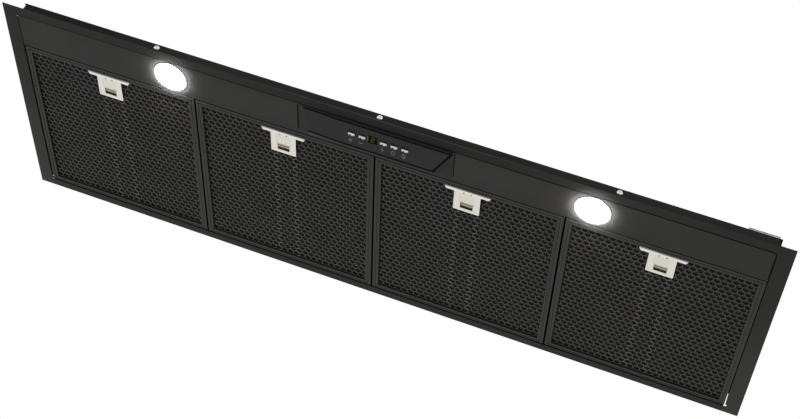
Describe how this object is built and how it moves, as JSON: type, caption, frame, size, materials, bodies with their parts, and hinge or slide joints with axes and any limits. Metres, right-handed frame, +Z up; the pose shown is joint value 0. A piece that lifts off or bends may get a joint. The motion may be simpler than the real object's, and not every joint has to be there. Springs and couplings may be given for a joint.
{
  "type": "range hood insert",
  "caption": "Slim built-in range hood insert: trim frame with lamps, key panel and hinged honeycomb grease filters below, blower box and duct collar above.",
  "frame": {"origin": "middle of the plan, at the height of the button crowns, the lowest points", "axes": "+X to the right as the user faces the hood, +Y towards the rear wall, +Z up towards the duct"},
  "size_m": [1.2, 0.398, 0.1975],
  "materials": {
    "trim_paint": "charcoal satin powder coat",
    "housing_paint": "charcoal satin powder coat",
    "galvanised": "galvanised sheet",
    "filter_frame": "charcoal coated aluminium",
    "filter_mesh": "charcoal coated aluminium mesh",
    "ivory_plastic": "satin",
    "tan_plastic": "satin",
    "spring_steel": "drawn wire",
    "panel_plastic": "fine satin",
    "key_plastic": "plated gloss",
    "display_window": "dark window with a lit digit",
    "circuit_board": "solder mask",
    "switch_plastic": "moulded",
    "lamp_rim": "satin",
    "lamp_lens": "frosted, lit white, emissive",
    "lamp_body": "die cast",
    "screw_steel": "zinc plated",
    "blower_plastic": "moulded",
    "impeller_plastic": "moulded",
    "motor_steel": "bright zinc",
    "capacitor_case": "moulded",
    "collar_plastic": "moulded",
    "gland_plastic": "moulded nylon"
  },
  "bodies": {
    "housing": {"trim_frame": "trim_paint", "deck_plate": "housing_paint", "plenum_hood": "housing_paint", "motor_box": "housing_paint", "duct_collar": "collar_plastic", "damper_pin": "screw_steel", "scroll_casing": "blower_plastic", "motor": "motor_steel", "motor_bracket": "galvanised", "run_capacitor": "capacitor_case", "terminal_box": "galvanised", "cable_gland": "gland_plastic", "hinge_rail": "galvanised", "hinge_ears": "galvanised", "front_fascia": "trim_paint", "front_screws": "screw_steel", "control_panel": "panel_plastic", "control_board": "circuit_board", "display_module": "display_window", "key_switches": "switch_plastic", "lamp_left_bezel": "lamp_rim", "lamp_left_lens": "lamp_lens", "lamp_left_body": "lamp_body", "lamp_right_bezel": "lamp_rim", "lamp_right_lens": "lamp_lens", "lamp_right_body": "lamp_body", "cover_screws": "screw_steel"},
    "rotor": {"impeller": "impeller_plastic", "motor_shaft": "screw_steel"},
    "damper_front": {"damper_flap_front": "collar_plastic"},
    "damper_rear": {"damper_flap_rear": "collar_plastic"},
    "filter_1": {"filter_1_frame": "filter_frame", "filter_1_face": "filter_mesh", "filter_1_pad": "filter_mesh", "latch_1_plate": "ivory_plastic", "latch_1_spring": "spring_steel"},
    "latch_1": {"latch_1_slider": "tan_plastic"},
    "filter_2": {"filter_2_frame": "filter_frame", "filter_2_face": "filter_mesh", "filter_2_pad": "filter_mesh", "latch_2_plate": "ivory_plastic", "latch_2_spring": "spring_steel"},
    "latch_2": {"latch_2_slider": "tan_plastic"},
    "filter_3": {"filter_3_frame": "filter_frame", "filter_3_face": "filter_mesh", "filter_3_pad": "filter_mesh", "latch_3_plate": "ivory_plastic", "latch_3_spring": "spring_steel"},
    "latch_3": {"latch_3_slider": "tan_plastic"},
    "filter_4": {"filter_4_frame": "filter_frame", "filter_4_face": "filter_mesh", "filter_4_pad": "filter_mesh", "latch_4_plate": "ivory_plastic", "latch_4_spring": "spring_steel"},
    "latch_4": {"latch_4_slider": "tan_plastic"},
    "key_1": {"button_1": "key_plastic"},
    "key_2": {"button_2": "key_plastic"},
    "key_3": {"button_3": "key_plastic"},
    "key_4": {"button_4": "key_plastic"},
    "key_5": {"button_5": "key_plastic"}
  },
  "joints": [
    {"name": "blower_spin", "type": "hinge", "parent": "housing", "child": "rotor", "pos_m": [0, 0.054, 0.0935], "axis": [1, 0, 0], "continuous": true},
    {"name": "damper_front_hinge", "type": "hinge", "parent": "housing", "child": "damper_front", "pos_m": [0, 0.08, 0.1755], "axis": [-1, 0, 0], "range_deg": [0, 80]},
    {"name": "damper_rear_hinge", "type": "hinge", "parent": "housing", "child": "damper_rear", "pos_m": [0, 0.08, 0.1755], "axis": [1, 0, 0], "range_deg": [0, 80]},
    {"name": "filter_1_hinge", "type": "hinge", "parent": "housing", "child": "filter_1", "pos_m": [-0.4319, 0.182, 0.0091], "axis": [1, 0, 0], "range_deg": [0, 70]},
    {"name": "latch_1_slide", "type": "slide", "parent": "filter_1", "child": "latch_1", "axis": [0, 1, 0], "range_m": [0, 0.004], "stiffness_N_per_m": 500, "springref_m": -0.004, "deforming": ["latch_1_spring"]},
    {"name": "filter_2_hinge", "type": "hinge", "parent": "housing", "child": "filter_2", "pos_m": [-0.1435, 0.182, 0.0091], "axis": [1, 0, 0], "range_deg": [0, 70]},
    {"name": "latch_2_slide", "type": "slide", "parent": "filter_2", "child": "latch_2", "axis": [0, 1, 0], "range_m": [0, 0.004], "stiffness_N_per_m": 500, "springref_m": -0.004, "deforming": ["latch_2_spring"]},
    {"name": "filter_3_hinge", "type": "hinge", "parent": "housing", "child": "filter_3", "pos_m": [0.1449, 0.182, 0.0091], "axis": [1, 0, 0], "range_deg": [0, 70]},
    {"name": "latch_3_slide", "type": "slide", "parent": "filter_3", "child": "latch_3", "axis": [0, 1, 0], "range_m": [0, 0.004], "stiffness_N_per_m": 500, "springref_m": -0.004, "deforming": ["latch_3_spring"]},
    {"name": "filter_4_hinge", "type": "hinge", "parent": "housing", "child": "filter_4", "pos_m": [0.4333, 0.182, 0.0091], "axis": [1, 0, 0], "range_deg": [0, 70]},
    {"name": "latch_4_slide", "type": "slide", "parent": "filter_4", "child": "latch_4", "axis": [0, 1, 0], "range_m": [0, 0.004], "stiffness_N_per_m": 500, "springref_m": -0.004, "deforming": ["latch_4_spring"]},
    {"name": "button_1_press", "type": "slide", "parent": "housing", "child": "key_1", "axis": [0, 0, 1], "range_m": [0, 0.0012], "stiffness_N_per_m": 800, "springref_m": -0.0004},
    {"name": "button_2_press", "type": "slide", "parent": "housing", "child": "key_2", "axis": [0, 0, 1], "range_m": [0, 0.0012], "stiffness_N_per_m": 800, "springref_m": -0.0004},
    {"name": "button_3_press", "type": "slide", "parent": "housing", "child": "key_3", "axis": [0, 0, 1], "range_m": [0, 0.0012], "stiffness_N_per_m": 800, "springref_m": -0.0004},
    {"name": "button_4_press", "type": "slide", "parent": "housing", "child": "key_4", "axis": [0, 0, 1], "range_m": [0, 0.0012], "stiffness_N_per_m": 800, "springref_m": -0.0004},
    {"name": "button_5_press", "type": "slide", "parent": "housing", "child": "key_5", "axis": [0, 0, 1], "range_m": [0, 0.0012], "stiffness_N_per_m": 800, "springref_m": -0.0004}
  ]
}
